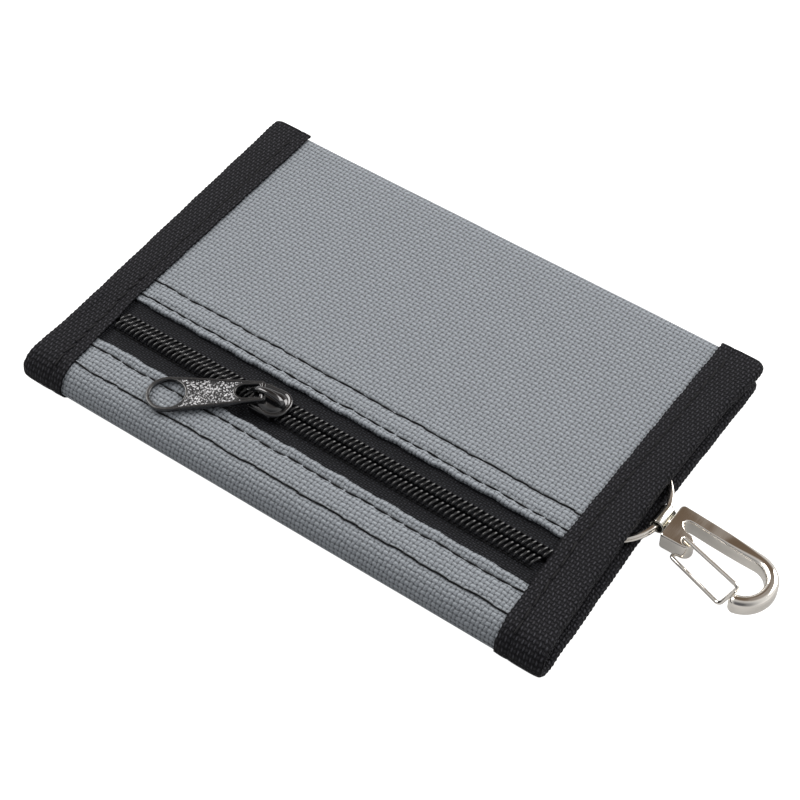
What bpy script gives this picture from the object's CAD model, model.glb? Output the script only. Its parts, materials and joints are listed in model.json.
# %% [markdown]
# # A bifold cloth wallet
# The wallet is a flat case of coated grey polyester, folded once and bound at both short ends with
# black edge tape. A zip pocket crosses the front, and a split ring with a snap hook hangs from one end.
# The CAD model gives every place and every hinge, so the lesson starts by loading it. Cloth pieces are then
# built round it as thin closed sheets, and metal pieces as bevelled plates and swept wire.

# %% Load the CAD frame
import json
import math

import bpy
import numpy as np
from mathutils import Matrix, Vector
from mathutils.geometry import tessellate_polygon


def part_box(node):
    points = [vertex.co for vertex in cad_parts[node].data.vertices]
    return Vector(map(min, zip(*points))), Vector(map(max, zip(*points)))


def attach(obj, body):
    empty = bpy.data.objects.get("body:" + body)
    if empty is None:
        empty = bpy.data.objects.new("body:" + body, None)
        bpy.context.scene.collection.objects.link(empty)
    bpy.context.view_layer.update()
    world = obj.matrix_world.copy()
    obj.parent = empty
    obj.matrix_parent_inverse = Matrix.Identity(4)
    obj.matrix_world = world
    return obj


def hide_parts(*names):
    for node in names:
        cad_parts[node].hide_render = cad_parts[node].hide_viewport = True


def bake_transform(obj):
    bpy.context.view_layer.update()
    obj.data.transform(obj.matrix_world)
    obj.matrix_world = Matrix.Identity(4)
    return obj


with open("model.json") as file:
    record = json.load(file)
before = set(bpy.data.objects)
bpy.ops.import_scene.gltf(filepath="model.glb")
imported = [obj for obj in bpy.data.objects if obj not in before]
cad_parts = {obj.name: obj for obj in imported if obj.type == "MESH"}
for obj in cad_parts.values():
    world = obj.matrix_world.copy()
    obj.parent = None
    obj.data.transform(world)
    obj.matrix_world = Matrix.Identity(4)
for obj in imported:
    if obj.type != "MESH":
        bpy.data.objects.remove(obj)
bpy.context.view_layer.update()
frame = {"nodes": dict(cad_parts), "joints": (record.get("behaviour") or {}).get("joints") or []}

MM = 0.001
scene = bpy.context.scene


# %% [markdown]
# Every place below comes from the CAD boxes, in millimetres, because a wallet maker thinks in millimetres.
# The mesh helpers turn them into metres at the last moment.

# %% Read the main places from the CAD boxes
def span(node):
    """Lowest and highest corner of a CAD node, in millimetres."""
    low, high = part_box(node)
    return np.array(low) / MM, np.array(high) / MM


front_low, front_high = span("front_outer_panel")
_, strip_high = span("front_lower_strip")
tape_low, tape_high = span("front_binding_right")
spine_low, _ = span("spine_panel")
coil_low, coil_high = span("zip_coil_lower")
zip_mid_y = coil_high[1] + 0.3
top_z = front_high[2]
mid_z = top_z / 2
free_y = front_high[1]
fold_y = spine_low[1]
lip_up_y = front_low[1]
lip_down_y = strip_high[1]
tape_in_x = tape_low[0]
end_x = tape_high[0]
layer_x = front_high[0]
print("wallet:", 2 * end_x, "x", free_y - fold_y, "x", top_z, "mm")

# %% [markdown]
# ## Camera, light and floor
# The camera looks down at the zip side from the front right, about 50 degrees above the table, with a long
# lens. It is built from an aim point, two angles, a distance and a slight roll, because those are what one
# changes with a camera in hand. The light is a pale studio with two darker sides, one of them warm, so that
# nickel and lacquer have something to reflect, and two soft lamps that give the cloth its relief. The floor
# glows most for the camera's own rays, which shows it white without flooding the wallet with light, and it is
# clear from below, so that the back of the wallet can be looked at.

# %% Camera
AIM = Vector((7.3, -7.74, 8.4)) * MM
AZIMUTH = math.radians(34.84)
ELEVATION = math.radians(49.92)
DISTANCE = 424.37 * MM
ROLL = math.radians(0.74)
LENS = 94.80

back = Vector((math.sin(AZIMUTH) * math.cos(ELEVATION),
               -math.cos(AZIMUTH) * math.cos(ELEVATION),
               math.sin(ELEVATION)))
side = Vector((0, 0, 1)).cross(back).normalized()
up = back.cross(side)
rolled_side = side * math.cos(ROLL) + up * math.sin(ROLL)
rolled_up = up * math.cos(ROLL) - side * math.sin(ROLL)
camera_data = bpy.data.cameras.new("camera")
camera_data.lens = LENS
camera_data.clip_start = 0.01
camera = bpy.data.objects.new("camera", camera_data)
camera.matrix_world = Matrix.Translation(AIM + back * DISTANCE) @ Matrix(
    (rolled_side, rolled_up, back)).transposed().to_4x4()
scene.collection.objects.link(camera)
scene.camera = camera
scene.view_settings.view_transform = "Standard"
print("camera at", [round(c / MM, 1) for c in camera.location])

# %% World
world = bpy.data.worlds.new("studio")
world.use_nodes = True
scene.world = world
nodes, links = world.node_tree.nodes, world.node_tree.links
sky = nodes["Background"]
sky.inputs["Strength"].default_value = 0.95
direction = nodes.new("ShaderNodeTexCoord")


def dark_patch(centre, start, full, color):
    """A patch of the sky that fades from white to a colour round a centre direction."""
    toward = nodes.new("ShaderNodeVectorMath")
    toward.operation = "DOT_PRODUCT"
    toward.inputs[1].default_value = Vector(centre).normalized()
    falloff = nodes.new("ShaderNodeValToRGB")
    falloff.color_ramp.interpolation = "B_SPLINE"
    falloff.color_ramp.elements[0].position = start
    falloff.color_ramp.elements[0].color = (1, 1, 1, 1)
    falloff.color_ramp.elements[1].position = full
    falloff.color_ramp.elements[1].color = (*color, 1)
    links.new(direction.outputs["Generated"], toward.inputs[0])
    links.new(toward.outputs["Value"], falloff.inputs["Fac"])
    return falloff.outputs["Color"]


both = nodes.new("ShaderNodeVectorMath")
both.operation = "MULTIPLY"
links.new(dark_patch((-0.33, 0.62, 0.72), 0.76, 0.98, (0.17, 0.125, 0.09)), both.inputs[0])
links.new(dark_patch((0.2, -0.8, 0.55), 0.4, 0.9, (0.12, 0.12, 0.13)), both.inputs[1])
links.new(both.outputs["Vector"], sky.inputs["Color"])


# %% Lamps
def soft_lamp(name, place, size, power, warmth=1.0):
    """A square soft box that faces the wallet."""
    data = bpy.data.lights.new(name, "AREA")
    data.shape = "SQUARE"
    data.size = size
    data.energy = power
    data.color = (1.0, 0.98 * warmth, 0.96 * warmth)
    lamp = bpy.data.objects.new(name, data)
    lamp.location = place
    lamp.rotation_euler = (-Vector(place)).to_track_quat("-Z", "Y").to_euler()
    scene.collection.objects.link(lamp)
    return lamp


soft_lamp("key_lamp", (-1.0, 0.15, 0.95), 0.8, 12.5)
soft_lamp("back_lamp", (0.45, 1.0, 0.8), 0.9, 14.5)

# %% Floor
floor_mesh = bpy.data.meshes.new("floor")
FLOOR_Z = -0.00045
FLOOR_HALF = 3.0
floor_mesh.from_pydata([(x, y, FLOOR_Z) for x, y in ((-FLOOR_HALF, -FLOOR_HALF), (FLOOR_HALF, -FLOOR_HALF),
                                                     (FLOOR_HALF, FLOOR_HALF), (-FLOOR_HALF, FLOOR_HALF))],
                       [], [(0, 1, 2, 3)])
floor = bpy.data.objects.new("floor", floor_mesh)
scene.collection.objects.link(floor)
GLOW_CAST = 0.2                  # glow that lights the wallet from below
GLOW_SEEN = 0.8                  # more glow, only where the camera sees the floor
floor_paint = bpy.data.materials.new("pale_floor")
floor_paint.use_nodes = True
floor_nodes, floor_links = floor_paint.node_tree.nodes, floor_paint.node_tree.links
floor_shader = floor_nodes["Principled BSDF"]
floor_shader.inputs["Base Color"].default_value = (0.36, 0.36, 0.36, 1)
floor_shader.inputs["Emission Color"].default_value = (1, 1, 1, 1)
floor_shader.inputs["Roughness"].default_value = 0.9
floor_shader.inputs["Specular IOR Level"].default_value = 0.1
seen = floor_nodes.new("ShaderNodeLightPath")
glow = floor_nodes.new("ShaderNodeMath")
glow.operation = "MULTIPLY_ADD"
glow.inputs[1].default_value = GLOW_SEEN
glow.inputs[2].default_value = GLOW_CAST
floor_links.new(seen.outputs["Is Camera Ray"], glow.inputs[0])
floor_links.new(glow.outputs[0], floor_shader.inputs["Emission Strength"])
from_under = floor_nodes.new("ShaderNodeNewGeometry")
open_below = floor_nodes.new("ShaderNodeMixShader")
clear = floor_nodes.new("ShaderNodeBsdfTransparent")
floor_links.new(from_under.outputs["Backfacing"], open_below.inputs[0])
floor_links.new(floor_shader.outputs[0], open_below.inputs[1])
floor_links.new(clear.outputs[0], open_below.inputs[2])
floor_links.new(open_below.outputs[0], floor_nodes["Material Output"].inputs["Surface"])
floor_mesh.materials.append(floor_paint)


# %% [markdown]
# ## Effects that several finishes share
# All the cloths here are plain or basket weaves of different thread sizes, so one weave is built as a group.
# Two sine waves, one along each thread direction, give both the crossing pattern and the round back of each
# thread. Each thread rises where the product of the waves favours it, and the higher of the two is seen, so
# only the four corners of a crossing are open and dark. A second group adds the cloudy change of tone that
# handled cloth has, and a third the hairline marks on metal.

# %% Node helpers
def socket(tree, name, kind, side_name, value=None):
    made = tree.interface.new_socket(name, in_out=side_name, socket_type=kind)
    if value is not None:
        made.default_value = value
    return made


def math_node(tree, operation, a, b=None):
    """A Math node whose inputs are numbers or sockets; returns its output."""
    node = tree.nodes.new("ShaderNodeMath")
    node.operation = operation
    for slot, value in zip(node.inputs, (a, b)):
        if isinstance(value, (int, float)):
            slot.default_value = value
        elif value is not None:
            tree.links.new(value, slot)
    return node.outputs[0]


# %% Weave group
weave_group = bpy.data.node_groups.new("Weave", "ShaderNodeTree")
socket(weave_group, "Vector", "NodeSocketVector", "INPUT")
socket(weave_group, "Thread U", "NodeSocketFloat", "INPUT", 0.56)
socket(weave_group, "Thread V", "NodeSocketFloat", "INPUT", 0.56)
socket(weave_group, "Wander", "NodeSocketFloat", "INPUT", 0.12)
socket(weave_group, "Fuzz", "NodeSocketFloat", "INPUT", 0.5)
socket(weave_group, "Height", "NodeSocketFloat", "OUTPUT")
socket(weave_group, "Warp Mask", "NodeSocketFloat", "OUTPUT")
enter = weave_group.nodes.new("NodeGroupInput")
leave = weave_group.nodes.new("NodeGroupOutput")
wander = weave_group.nodes.new("ShaderNodeTexNoise")
wander.inputs["Scale"].default_value = 0.35
wander.inputs["Detail"].default_value = 1.0
weave_group.links.new(enter.outputs["Vector"], wander.inputs["Vector"])
drift = math_node(weave_group, "MULTIPLY", math_node(weave_group, "SUBTRACT", wander.outputs["Fac"], 0.5),
                  enter.outputs["Wander"])
axes = weave_group.nodes.new("ShaderNodeSeparateXYZ")
weave_group.links.new(enter.outputs["Vector"], axes.inputs[0])
waves = []
for axis_name, thread in (("X", "Thread U"), ("Y", "Thread V")):
    turns = math_node(weave_group, "ADD", math_node(weave_group, "DIVIDE", axes.outputs[axis_name],
                                                    enter.outputs[thread]), drift)
    waves.append(math_node(weave_group, "SINE", math_node(weave_group, "MULTIPLY", turns, math.pi)))
size_u = math_node(weave_group, "ABSOLUTE", waves[0])
size_v = math_node(weave_group, "ABSOLUTE", waves[1])
over = math_node(weave_group, "MULTIPLY", math_node(weave_group, "MULTIPLY", *waves), 0.5)
warp = math_node(weave_group, "MULTIPLY", math_node(weave_group, "POWER", size_u, 0.6),
                 math_node(weave_group, "ADD", over, 0.5))
weft = math_node(weave_group, "MULTIPLY", math_node(weave_group, "POWER", size_v, 0.6),
                 math_node(weave_group, "SUBTRACT", 0.5, over))
warp_on_top = math_node(weave_group, "GREATER_THAN", warp, weft)
yarn_height = math_node(weave_group, "MAXIMUM", warp, weft)
fibre = weave_group.nodes.new("ShaderNodeTexNoise")
fibre.inputs["Scale"].default_value = 4.5
fibre.inputs["Detail"].default_value = 2.0
weave_group.links.new(enter.outputs["Vector"], fibre.inputs["Vector"])
fuzz = math_node(weave_group, "MULTIPLY", math_node(weave_group, "SUBTRACT", fibre.outputs["Fac"], 0.5),
                 enter.outputs["Fuzz"])
weave_group.links.new(math_node(weave_group, "ADD", yarn_height, fuzz), leave.inputs["Height"])
weave_group.links.new(warp_on_top, leave.inputs["Warp Mask"])

# %% Mottle group
mottle_group = bpy.data.node_groups.new("Mottle", "ShaderNodeTree")
socket(mottle_group, "Vector", "NodeSocketVector", "INPUT")
socket(mottle_group, "Color", "NodeSocketColor", "INPUT", (0.3, 0.3, 0.3, 1))
socket(mottle_group, "Amount", "NodeSocketFloat", "INPUT", 0.15)
socket(mottle_group, "Scale", "NodeSocketFloat", "INPUT", 0.12)
socket(mottle_group, "Color", "NodeSocketColor", "OUTPUT")
socket(mottle_group, "Fac", "NodeSocketFloat", "OUTPUT")
enter = mottle_group.nodes.new("NodeGroupInput")
leave = mottle_group.nodes.new("NodeGroupOutput")
clouds = mottle_group.nodes.new("ShaderNodeTexNoise")
clouds.inputs["Detail"].default_value = 4.0
mottle_group.links.new(enter.outputs["Vector"], clouds.inputs["Vector"])
mottle_group.links.new(enter.outputs["Scale"], clouds.inputs["Scale"])
shift = math_node(mottle_group, "MULTIPLY", math_node(mottle_group, "SUBTRACT", clouds.outputs["Fac"], 0.5),
                  enter.outputs["Amount"])
gain = math_node(mottle_group, "ADD", math_node(mottle_group, "MULTIPLY", shift, 2.0), 1.0)
scaled = mottle_group.nodes.new("ShaderNodeVectorMath")
scaled.operation = "SCALE"
mottle_group.links.new(enter.outputs["Color"], scaled.inputs[0])
mottle_group.links.new(gain, scaled.inputs["Scale"])
mottle_group.links.new(scaled.outputs["Vector"], leave.inputs["Color"])
mottle_group.links.new(clouds.outputs["Fac"], leave.inputs["Fac"])

# %% Hairline group
hairline_group = bpy.data.node_groups.new("Hairlines", "ShaderNodeTree")
socket(hairline_group, "Vector", "NodeSocketVector", "INPUT")
socket(hairline_group, "Scale", "NodeSocketFloat", "INPUT", 900.0)
socket(hairline_group, "Height", "NodeSocketFloat", "OUTPUT")
enter = hairline_group.nodes.new("NodeGroupInput")
leave = hairline_group.nodes.new("NodeGroupOutput")
stretch = hairline_group.nodes.new("ShaderNodeMapping")
stretch.inputs["Scale"].default_value = (1.0, 0.18, 0.6)
stretch.inputs["Rotation"].default_value = (0.0, 0.0, 0.5)
marks = hairline_group.nodes.new("ShaderNodeTexNoise")
marks.inputs["Detail"].default_value = 5.0
hairline_group.links.new(enter.outputs["Vector"], stretch.inputs["Vector"])
hairline_group.links.new(stretch.outputs["Vector"], marks.inputs["Vector"])
hairline_group.links.new(enter.outputs["Scale"], marks.inputs["Scale"])
hairline_group.links.new(marks.outputs["Fac"], leave.inputs["Height"])
print("groups:", [g.name for g in bpy.data.node_groups])


# %% [markdown]
# ## Cloth finishes
# A woven finish is the weave's height sent to a bump, with darker gaps between the threads. The pattern reads
# the cloth's own UV map, which holds millimetres along and across the cloth, so it follows every fold.

# %% Woven finish
def woven(name, color, gap_color, thread, relief, roughness, warp_tint=0.0, sheen=0.0, wander=0.12,
          mottle=0.12, gap=(0.15, 0.75), gloss=0.3, fuzz=0.4):
    """Cloth woven from threads of the given size (mm along, mm across)."""
    material = bpy.data.materials.new(name)
    material.use_nodes = True
    tree = material.node_tree
    shader = tree.nodes["Principled BSDF"]
    uv = tree.nodes.new("ShaderNodeUVMap")
    uv.uv_map = "cloth"
    weave = tree.nodes.new("ShaderNodeGroup")
    weave.node_tree = weave_group
    weave.inputs["Thread U"].default_value, weave.inputs["Thread V"].default_value = thread
    weave.inputs["Wander"].default_value = wander
    weave.inputs["Fuzz"].default_value = fuzz
    tree.links.new(uv.outputs["UV"], weave.inputs["Vector"])
    cloud = tree.nodes.new("ShaderNodeGroup")
    cloud.node_tree = mottle_group
    cloud.inputs["Color"].default_value = (*color, 1)
    cloud.inputs["Amount"].default_value = mottle
    tree.links.new(uv.outputs["UV"], cloud.inputs["Vector"])
    tint = tree.nodes.new("ShaderNodeMix")
    tint.data_type = "RGBA"
    tint.blend_type = "MULTIPLY"
    tint.inputs["B"].default_value = (1 - warp_tint, 1 - warp_tint, 1 - warp_tint, 1)
    tree.links.new(weave.outputs["Warp Mask"], tint.inputs["Factor"])
    tree.links.new(cloud.outputs["Color"], tint.inputs["A"])
    depth = tree.nodes.new("ShaderNodeMapRange")
    depth.interpolation_type = "SMOOTHSTEP"
    depth.inputs["From Min"].default_value, depth.inputs["From Max"].default_value = gap
    tree.links.new(weave.outputs["Height"], depth.inputs["Value"])
    mix = tree.nodes.new("ShaderNodeMix")
    mix.data_type = "RGBA"
    mix.inputs["A"].default_value = (*gap_color, 1)
    tree.links.new(depth.outputs["Result"], mix.inputs["Factor"])
    tree.links.new(tint.outputs["Result"], mix.inputs["B"])
    tree.links.new(mix.outputs["Result"], shader.inputs["Base Color"])
    bump = tree.nodes.new("ShaderNodeBump")
    bump.inputs["Distance"].default_value = relief * MM
    bump.inputs["Strength"].default_value = 1.0
    tree.links.new(weave.outputs["Height"], bump.inputs["Height"])
    tree.links.new(bump.outputs["Normal"], shader.inputs["Normal"])
    shader.inputs["Roughness"].default_value = roughness
    shader.inputs["Specular IOR Level"].default_value = gloss
    shader.inputs["Sheen Weight"].default_value = sheen
    shader.inputs["Sheen Roughness"].default_value = 0.4
    return material


grey_cloth = woven("grey_polyester", (0.282, 0.306, 0.334), (0.060, 0.066, 0.074), (0.945, 1.0), 0.26, 0.62,
                   warp_tint=0.12, mottle=0.04, wander=0.6, gap=(0.18, 0.6), fuzz=0.6)
edge_tape = woven("edge_tape", (0.050, 0.050, 0.058), (0.005, 0.005, 0.0065), (0.99, 0.58), 0.25, 0.6,
                  warp_tint=0.55, mottle=0.2, wander=0.35, gloss=0.1, gap=(0.45, 1.0), fuzz=0.8)
zip_cloth = woven("zip_tape_cloth", (0.034, 0.036, 0.043), (0.003, 0.003, 0.004), (0.62, 0.5), 0.18, 0.6,
                  warp_tint=0.5, mottle=0.25, gloss=0.12, gap=(0.35, 0.95), fuzz=1.2)
lining_cloth = woven("lining_nylon", (0.016, 0.016, 0.018), (0.005, 0.005, 0.006), (0.30, 0.28), 0.03, 0.5,
                     mottle=0.2, gloss=0.25)
webbing = woven("webbing", (0.018, 0.018, 0.022), (0.003, 0.003, 0.004), (0.8, 1.1), 0.2, 0.5, mottle=0.2,
                gloss=0.2)
print("cloths:", grey_cloth.name, edge_tape.name, zip_cloth.name, lining_cloth.name, webbing.name)


# %% [markdown]
# ## Hard finishes
# Nickel plate is a metal with a slightly warm colour, very fine hairlines and the slight swell that
# polishing leaves on a cast face, which bends its reflections. The swivel's band is a duller pressing. The
# slider is zinc under glossy black lacquer, and its puller has a stippled panel, which is a strong fine bump
# with bright specks. The coil and the sewing thread are nylon, one glossy and one dull.

# %% Smooth finish
SWELL_SCALE = 95.0


def smooth_finish(name, color, metallic, roughness, spread=0.0, coat=0.0, hairline=0.0, scale=900.0,
                  wave=0.0):
    """Metal, lacquer or plastic, with roughness that changes a little. Hairline and wave set two bumps."""
    material = bpy.data.materials.new(name)
    material.use_nodes = True
    tree = material.node_tree
    shader = tree.nodes["Principled BSDF"]
    place = tree.nodes.new("ShaderNodeTexCoord")
    cloud = tree.nodes.new("ShaderNodeGroup")
    cloud.node_tree = mottle_group
    cloud.inputs["Color"].default_value = (*color, 1)
    cloud.inputs["Amount"].default_value = 0.1
    cloud.inputs["Scale"].default_value = 160.0
    tree.links.new(place.outputs["Object"], cloud.inputs["Vector"])
    tree.links.new(cloud.outputs["Color"], shader.inputs["Base Color"])
    gloss = tree.nodes.new("ShaderNodeMapRange")
    gloss.inputs["To Min"].default_value = roughness - spread
    gloss.inputs["To Max"].default_value = roughness + spread
    tree.links.new(cloud.outputs["Fac"], gloss.inputs["Value"])
    tree.links.new(gloss.outputs["Result"], shader.inputs["Roughness"])
    lines = tree.nodes.new("ShaderNodeGroup")
    lines.node_tree = hairline_group
    lines.inputs["Scale"].default_value = scale
    tree.links.new(place.outputs["Object"], lines.inputs["Vector"])
    bump = tree.nodes.new("ShaderNodeBump")
    bump.inputs["Distance"].default_value = hairline * MM
    tree.links.new(lines.outputs["Height"], bump.inputs["Height"])
    tree.links.new(bump.outputs["Normal"], shader.inputs["Normal"])
    if wave:
        swell = tree.nodes.new("ShaderNodeTexNoise")
        swell.inputs["Scale"].default_value = SWELL_SCALE
        swell.inputs["Detail"].default_value = 0.5
        tree.links.new(place.outputs["Object"], swell.inputs["Vector"])
        polish = tree.nodes.new("ShaderNodeBump")
        polish.inputs["Distance"].default_value = wave * MM
        tree.links.new(swell.outputs["Fac"], polish.inputs["Height"])
        tree.links.new(polish.outputs["Normal"], bump.inputs["Normal"])
    shader.inputs["Metallic"].default_value = metallic
    shader.inputs["Coat Weight"].default_value = coat
    shader.inputs["Coat Roughness"].default_value = 0.06
    return material


nickel = smooth_finish("nickel", (0.85, 0.81, 0.75), 1.0, 0.09, spread=0.05, hairline=0.016, wave=1.6)
band_nickel = smooth_finish("band_nickel", (0.62, 0.61, 0.55), 1.0, 0.16, spread=0.05, hairline=0.03,
                            wave=1.0)
lacquer = smooth_finish("black_lacquer", (0.006, 0.006, 0.007), 0.0, 0.1, spread=0.03, coat=0.9,
                        hairline=0.001)
coil_nylon = smooth_finish("coil_nylon", (0.004, 0.004, 0.005), 0.0, 0.12, spread=0.05, coat=0.3,
                           hairline=0.001)
black_vinyl = smooth_finish("black_vinyl", (0.016, 0.016, 0.017), 0.0, 0.45, spread=0.1, hairline=0.03)
thread_nylon = smooth_finish("black_thread", (0.005, 0.005, 0.006), 0.0, 0.6, spread=0.1, hairline=0.04,
                             scale=4000.0)
thread_nylon.node_tree.nodes["Principled BSDF"].inputs["Specular IOR Level"].default_value = 0.2

# %% Stippled lacquer
stipple = smooth_finish("stippled_lacquer", (0.03, 0.03, 0.032), 0.0, 0.22, spread=0.08)
tree = stipple.node_tree
grit = tree.nodes.new("ShaderNodeTexVoronoi")
grit.inputs["Scale"].default_value = 4100.0
tree.links.new(tree.nodes["Texture Coordinate"].outputs["Object"], grit.inputs["Vector"])
stipple_bump = tree.nodes.new("ShaderNodeBump")
stipple_bump.inputs["Distance"].default_value = 0.2 * MM
tree.links.new(grit.outputs["Distance"], stipple_bump.inputs["Height"])
shader = tree.nodes["Principled BSDF"]
tree.links.new(stipple_bump.outputs["Normal"], shader.inputs["Normal"])
sparks = tree.nodes.new("ShaderNodeMapRange")
sparks.inputs["From Min"].default_value = 0.64
sparks.inputs["From Max"].default_value = 0.74
tree.links.new(grit.outputs["Color"], sparks.inputs["Value"])
spark_mix = tree.nodes.new("ShaderNodeMix")
spark_mix.data_type = "RGBA"
spark_mix.inputs["A"].default_value = (0.004, 0.004, 0.005, 1)
spark_mix.inputs["B"].default_value = (0.62, 0.62, 0.64, 1)
tree.links.new(sparks.outputs["Result"], spark_mix.inputs["Factor"])
tree.links.new(spark_mix.outputs["Result"], shader.inputs["Base Color"])

# %% Clear vinyl and touch fastener
clear_vinyl = smooth_finish("clear_vinyl", (0.85, 0.88, 0.9), 0.0, 0.12, spread=0.04)
clear_vinyl.node_tree.nodes["Principled BSDF"].inputs["Alpha"].default_value = 0.22
fleece = smooth_finish("loop_fleece", (0.012, 0.012, 0.012), 0.0, 0.9, spread=0.05, hairline=0.25,
                       scale=2600.0)
print("hard finishes ready")


# %% [markdown]
# ## Mesh helpers
# Each cloth piece is a grid of points on its middle surface, given a thickness along its normals and closed
# round its rim. The UV map named cloth holds the distance along both directions of the grid in millimetres.

# %% Cloth sheets
def link_piece(name, mesh, material):
    piece = bpy.data.objects.new(name, mesh)
    scene.collection.objects.link(piece)
    if material is not None:
        mesh.materials.clear()
        mesh.materials.append(material)
    return piece


def steps_along(points):
    """Distance along a line of points."""
    return np.concatenate([[0], np.cumsum(np.linalg.norm(np.diff(points, axis=0), axis=1))])


def sheet_piece(name, grid, thickness, material):
    """A closed thin sheet round a grid of points: rows x columns x (x, y, z) in millimetres."""
    rows, columns, _ = grid.shape
    across = np.cross(np.gradient(grid, axis=0), np.gradient(grid, axis=1))
    across /= np.maximum(np.linalg.norm(across, axis=2, keepdims=True), 1e-9)
    outer = grid + across * thickness / 2
    inner = grid - across * thickness / 2
    count = rows * columns
    index = np.arange(count).reshape(rows, columns)
    top = np.stack([index[:-1, :-1], index[1:, :-1], index[1:, 1:], index[:-1, 1:]], -1).reshape(-1, 4)
    ring = np.concatenate([index[:-1, 0], index[-1, :-1], index[:0:-1, -1], index[0, :0:-1]])
    after = np.roll(ring, -1)
    rim = np.stack([after, ring, ring + count, after + count], -1)
    faces = np.concatenate([top, top[:, ::-1] + count, rim])
    mesh = bpy.data.meshes.new(name)
    points = np.concatenate([outer.reshape(-1, 3), inner.reshape(-1, 3)]) * MM
    mesh.from_pydata(points.tolist(), [], faces.tolist())
    along = steps_along(grid[:, columns // 2])
    over = steps_along(grid[rows // 2])
    flat = np.stack(np.meshgrid(along, over, indexing="ij"), -1).reshape(-1, 2)
    uv = mesh.uv_layers.new(name="cloth")
    corners = np.empty(len(mesh.loops), np.int32)
    mesh.loops.foreach_get("vertex_index", corners)
    uv.data.foreach_set("uv", flat[corners % count].astype(np.float32).ravel())
    mesh.polygons.foreach_set("use_smooth", [True] * len(faces))
    mesh.update()
    return link_piece(name, mesh, material)


# %% Smooth lines
def smooth_line(points, fine=0.35, coarse=2.0):
    """A smooth curve through the points, sampled finely where they lie close together."""
    p = np.array(points, float)
    p = np.vstack([2 * p[0] - p[1], p, 2 * p[-1] - p[-2]])
    knots = np.concatenate([[0], np.cumsum(np.sqrt(np.linalg.norm(np.diff(p, axis=0), axis=1)))])
    line = []
    for i in range(1, len(p) - 2):
        t0, t1, t2, t3 = knots[i - 1:i + 3]
        gap = np.linalg.norm(p[i + 1] - p[i])
        count = max(2, int(math.ceil(gap / (fine if gap < 4 else coarse))))
        t = np.linspace(t1, t2, count, endpoint=False)[:, None]
        a1 = (t1 - t) / (t1 - t0) * p[i - 1] + (t - t0) / (t1 - t0) * p[i]
        a2 = (t2 - t) / (t2 - t1) * p[i] + (t - t1) / (t2 - t1) * p[i + 1]
        a3 = (t3 - t) / (t3 - t2) * p[i + 1] + (t - t2) / (t3 - t2) * p[i + 2]
        b1 = (t2 - t) / (t2 - t0) * a1 + (t - t0) / (t2 - t0) * a2
        b2 = (t3 - t) / (t3 - t1) * a2 + (t - t1) / (t3 - t1) * a3
        line.append((t2 - t) / (t2 - t1) * b1 + (t - t1) / (t2 - t1) * b2)
    return np.vstack([*line, p[-2:-1]])


def ripple(x, phase, length=9.0):
    """A gentle uneven wave between about -1 and 1."""
    turn = 2 * np.pi * x / length
    swell_line = np.sin(turn + phase) + 0.6 * np.sin(1.9 * turn + 2.1 * phase)
    return (swell_line + 0.4 * np.sin(3.4 * turn + 3.7 * phase)) / 2


def bell(x, centre, width):
    return np.exp(-((x - centre) / width) ** 2)


# %% [markdown]
# ## The outer cloth
# The real cloth is one length of coated polyester, cut at the zip. Here it is three sheets that follow the
# same line: the front above the zip, the strip from the zip over the fold, and the back. Each line is drawn
# as a side profile, from the folded hem inside to the cut end, and then carried along the wallet with small
# ripples, because folded and sewn cloth is never quite straight. The fold has two hinges in CAD, so the fold
# cloth is split half way round, and each half bends between its own two bodies.

# %% Side profile of the fold
CLOTH = 0.42
BACK_RISE = 0.32
FOLD_CENTRE_Y = fold_y + 4.9
FOLD_TOP = top_z - 0.05


def fold_line(depth, upper=True, steps=16, sweep=90.0):
    """Quarter of an ellipse round the fold, depth below the outer face, from the flat to the middle."""
    angle = np.radians(np.linspace(0, sweep, steps))
    rise = (FOLD_TOP - mid_z if upper else mid_z - BACK_RISE) - depth
    y = FOLD_CENTRE_Y - (FOLD_CENTRE_Y - fold_y - depth) * np.sin(angle)
    z = mid_z + (1 if upper else -1) * rise * np.cos(angle)
    return np.stack([y, z], -1)


# %% Carry a profile along the wallet
ROW_PITCH = 3.5
STITCH_ROWS = {"upper_far": lip_up_y + 6.6, "upper_near": lip_up_y + 1.9, "lower_near": lip_down_y - 2.4,
               "lower_far": lip_down_y - 8.0}
LIP_REACH = 2.2
ROW_WAVE = 0.22


def carry(profile, xs, lips=(), rows=(), sign=1.0):
    """Grid of the (y, z) profile along xs, wavy at the lips and quilted between stitch rows."""
    x = xs[:, None]
    y = np.broadcast_to(profile[None, :, 0], (len(xs), len(profile))).copy()
    z = np.broadcast_to(profile[None, :, 1], (len(xs), len(profile))).copy()
    base = y.copy()
    for centre, phase in lips:
        near = bell(base, centre, LIP_REACH)
        y += 0.2 * near * ripple(x, phase, 11.0)
        z += 0.08 * near * ripple(x, phase + 1.0, 6.0)
    for centre, phase in rows:
        near = bell(base, centre + ROW_WAVE * ripple(x, phase, 17.0), 0.6)
        z -= sign * near * (0.17 + 0.12 * np.cos(2 * np.pi * x / ROW_PITCH + phase))
    z += sign * 0.07 * ripple(x, 0.7, 47.0) * np.sin(base / 9.0)
    if sign > 0:
        under_tape = np.clip((np.abs(x) - tape_in_x + 2.2) / 1.8, 0, 1)
        z -= under_tape * np.maximum(0, z - (top_z - 0.36))
    return np.dstack([np.broadcast_to(x, y.shape), y, z])


cloth_xs = np.linspace(-layer_x + 0.6, layer_x - 0.6, 210)

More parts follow.
